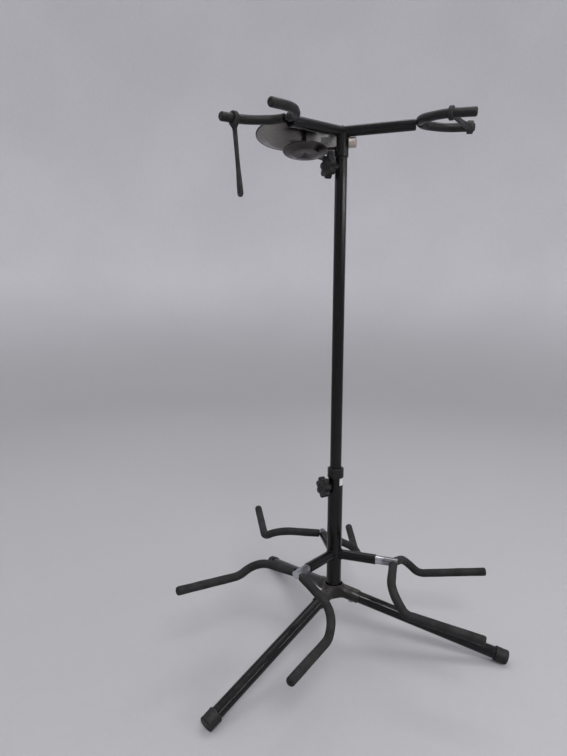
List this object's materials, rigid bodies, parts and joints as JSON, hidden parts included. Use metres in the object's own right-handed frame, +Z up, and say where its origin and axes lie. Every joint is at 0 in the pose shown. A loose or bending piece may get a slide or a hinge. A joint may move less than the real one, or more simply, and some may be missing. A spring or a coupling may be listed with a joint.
{
  "type": "guitar stand",
  "caption": "Telescoping floor stand for guitars: padded neck yokes on a swivelling head, padded body forks on a sloping-leg base.",
  "frame": {"origin": "on the floor, on the mast's axis", "axes": "+Z up along the mast; -Y towards the front, where the front arm of the head points; +X to the right"},
  "size_m": [0.637, 0.5813, 1.0204],
  "materials": {
    "black_paint": "gloss black powder coat",
    "chrome_tube": "bright chrome plating",
    "zinc": "zinc-plated steel",
    "polished_steel": "polished steel sheet",
    "dark_steel": "polished steel sheet, darkened",
    "brass_screw": "satin brass",
    "foot_rubber": "matt black rubber",
    "sleeve_rubber": "soft charcoal rubber sleeve",
    "foam": "closed-cell charcoal foam",
    "strap_rubber": "matt dark grey rubber",
    "black_plastic": "moulded black plastic",
    "label": "blank silver-grey sticker"
  },
  "bodies": {
    "base": {"hub": "black_paint", "front_leg": "black_paint", "right_leg": "black_paint", "left_leg": "black_paint", "front_foot": "foot_rubber", "right_foot": "foot_rubber", "left_foot": "foot_rubber", "leg_screws": "zinc", "hub_bolt": "zinc", "tube_plug": "zinc", "lower_tube": "black_paint", "front_stub": "black_paint", "right_stub": "black_paint", "left_stub": "black_paint", "lower_boss": "black_paint", "lower_bush": "black_plastic", "blank_label": "label"},
    "lower_clamp": {"lower_knob": "black_plastic", "lower_knob_screw": "zinc"},
    "mast": {"upper_tube": "black_paint", "upper_boss": "black_paint", "upper_bush": "black_plastic"},
    "upper_clamp": {"upper_knob": "black_plastic", "upper_knob_screw": "zinc"},
    "post": {"head_post": "chrome_tube"},
    "head": {"head_collar": "black_paint", "front_arm": "black_paint", "right_arm": "black_paint", "left_arm": "black_paint", "tray_clip": "polished_steel", "tray_thumb_screw": "brass_screw", "tray_bracket": "polished_steel", "tray_post": "polished_steel", "large_tray": "polished_steel", "small_tray": "dark_steel"},
    "front_neck_yoke": {"front_yoke": "black_paint", "front_yoke_left_sleeve": "sleeve_rubber", "front_yoke_right_sleeve": "sleeve_rubber"},
    "right_neck_yoke": {"right_yoke": "black_paint", "right_yoke_left_sleeve": "sleeve_rubber", "right_yoke_right_sleeve": "sleeve_rubber", "right_strap": "strap_rubber"},
    "left_neck_yoke": {"left_yoke": "black_paint", "left_yoke_left_sleeve": "sleeve_rubber", "left_yoke_right_sleeve": "sleeve_rubber", "left_strap": "strap_rubber"},
    "hanging_strap": {"front_strap": "strap_rubber"},
    "front_slip": {"front_slip_tube": "chrome_tube"},
    "front_body_fork": {"front_fork": "chrome_tube", "front_fork_left_sleeve": "foam", "front_fork_right_sleeve": "foam"},
    "right_slip": {"right_slip_tube": "chrome_tube"},
    "right_body_fork": {"right_fork": "chrome_tube", "right_fork_left_sleeve": "foam", "right_fork_right_sleeve": "foam"},
    "left_slip": {"left_slip_tube": "chrome_tube"},
    "left_body_fork": {"left_fork": "chrome_tube", "left_fork_left_sleeve": "foam", "left_fork_right_sleeve": "foam"}
  },
  "joints": [
    {"name": "mast_height", "type": "slide", "parent": "base", "child": "mast", "axis": [0, 0, 1], "range_m": [-0.13, 0.05]},
    {"name": "lower_knob_turn", "type": "hinge", "parent": "base", "child": "lower_clamp", "pos_m": [0, 0, 0.329], "axis": [-0.309, -0.9511, 0], "continuous": true},
    {"name": "upper_knob_turn", "type": "hinge", "parent": "mast", "child": "upper_clamp", "pos_m": [0, 0, 0.92], "axis": [-0.309, -0.9511, 0], "continuous": true},
    {"name": "head_height", "type": "slide", "parent": "mast", "child": "post", "axis": [0, 0, 1], "range_m": [0, 0.055]},
    {"name": "head_swivel", "type": "hinge", "parent": "post", "child": "head", "pos_m": [0, 0, 0.981], "axis": [0, 0, 1], "continuous": true},
    {"name": "front_yoke_swivel", "type": "hinge", "parent": "head", "child": "front_neck_yoke", "pos_m": [0, -0.13542, 0.97627], "axis": [0, -0.9994, -0.0349], "range_deg": [-44, 46]},
    {"name": "right_yoke_swivel", "type": "hinge", "parent": "head", "child": "right_neck_yoke", "pos_m": [0.11731, 0.06773, 0.98455], "axis": [0.8657, 0.4998, 0.0262], "range_deg": [-47, 43]},
    {"name": "left_yoke_swivel", "type": "hinge", "parent": "head", "child": "left_neck_yoke", "pos_m": [-0.11733, 0.06774, 0.98313], "axis": [-0.8659, 0.4999, 0.0157], "range_deg": [-67, 23]},
    {"name": "strap_swing", "type": "hinge", "parent": "front_neck_yoke", "child": "hanging_strap", "pos_m": [-0.05581, -0.19949, 0.97739], "axis": [-0.0555, -0.9971, -0.0513], "range_deg": [-75, 60]},
    {"name": "front_fork_reach", "type": "slide", "parent": "base", "child": "front_slip", "axis": [0.0785, -0.9969, 0], "range_m": [-0.018, 0.022]},
    {"name": "front_fork_swivel", "type": "hinge", "parent": "front_slip", "child": "front_body_fork", "pos_m": [0.00863, -0.10966, 0.188], "axis": [0.0785, -0.9969, 0], "range_deg": [-20, 40]},
    {"name": "right_fork_reach", "type": "slide", "parent": "base", "child": "right_slip", "axis": [0.891, 0.454, 0], "range_m": [-0.025, 0.015]},
    {"name": "right_fork_swivel", "type": "hinge", "parent": "right_slip", "child": "right_body_fork", "pos_m": [0.10425, 0.05312, 0.188], "axis": [0.891, 0.454, 0], "range_deg": [-21.5, 38.5]},
    {"name": "left_fork_reach", "type": "slide", "parent": "base", "child": "left_slip", "axis": [-0.8241, 0.5664, 0], "range_m": [0, 0.04]},
    {"name": "left_fork_swivel", "type": "hinge", "parent": "left_slip", "child": "left_body_fork", "pos_m": [-0.07582, 0.05211, 0.188], "axis": [-0.8241, 0.5664, 0], "range_deg": [-48, 12]}
  ]
}
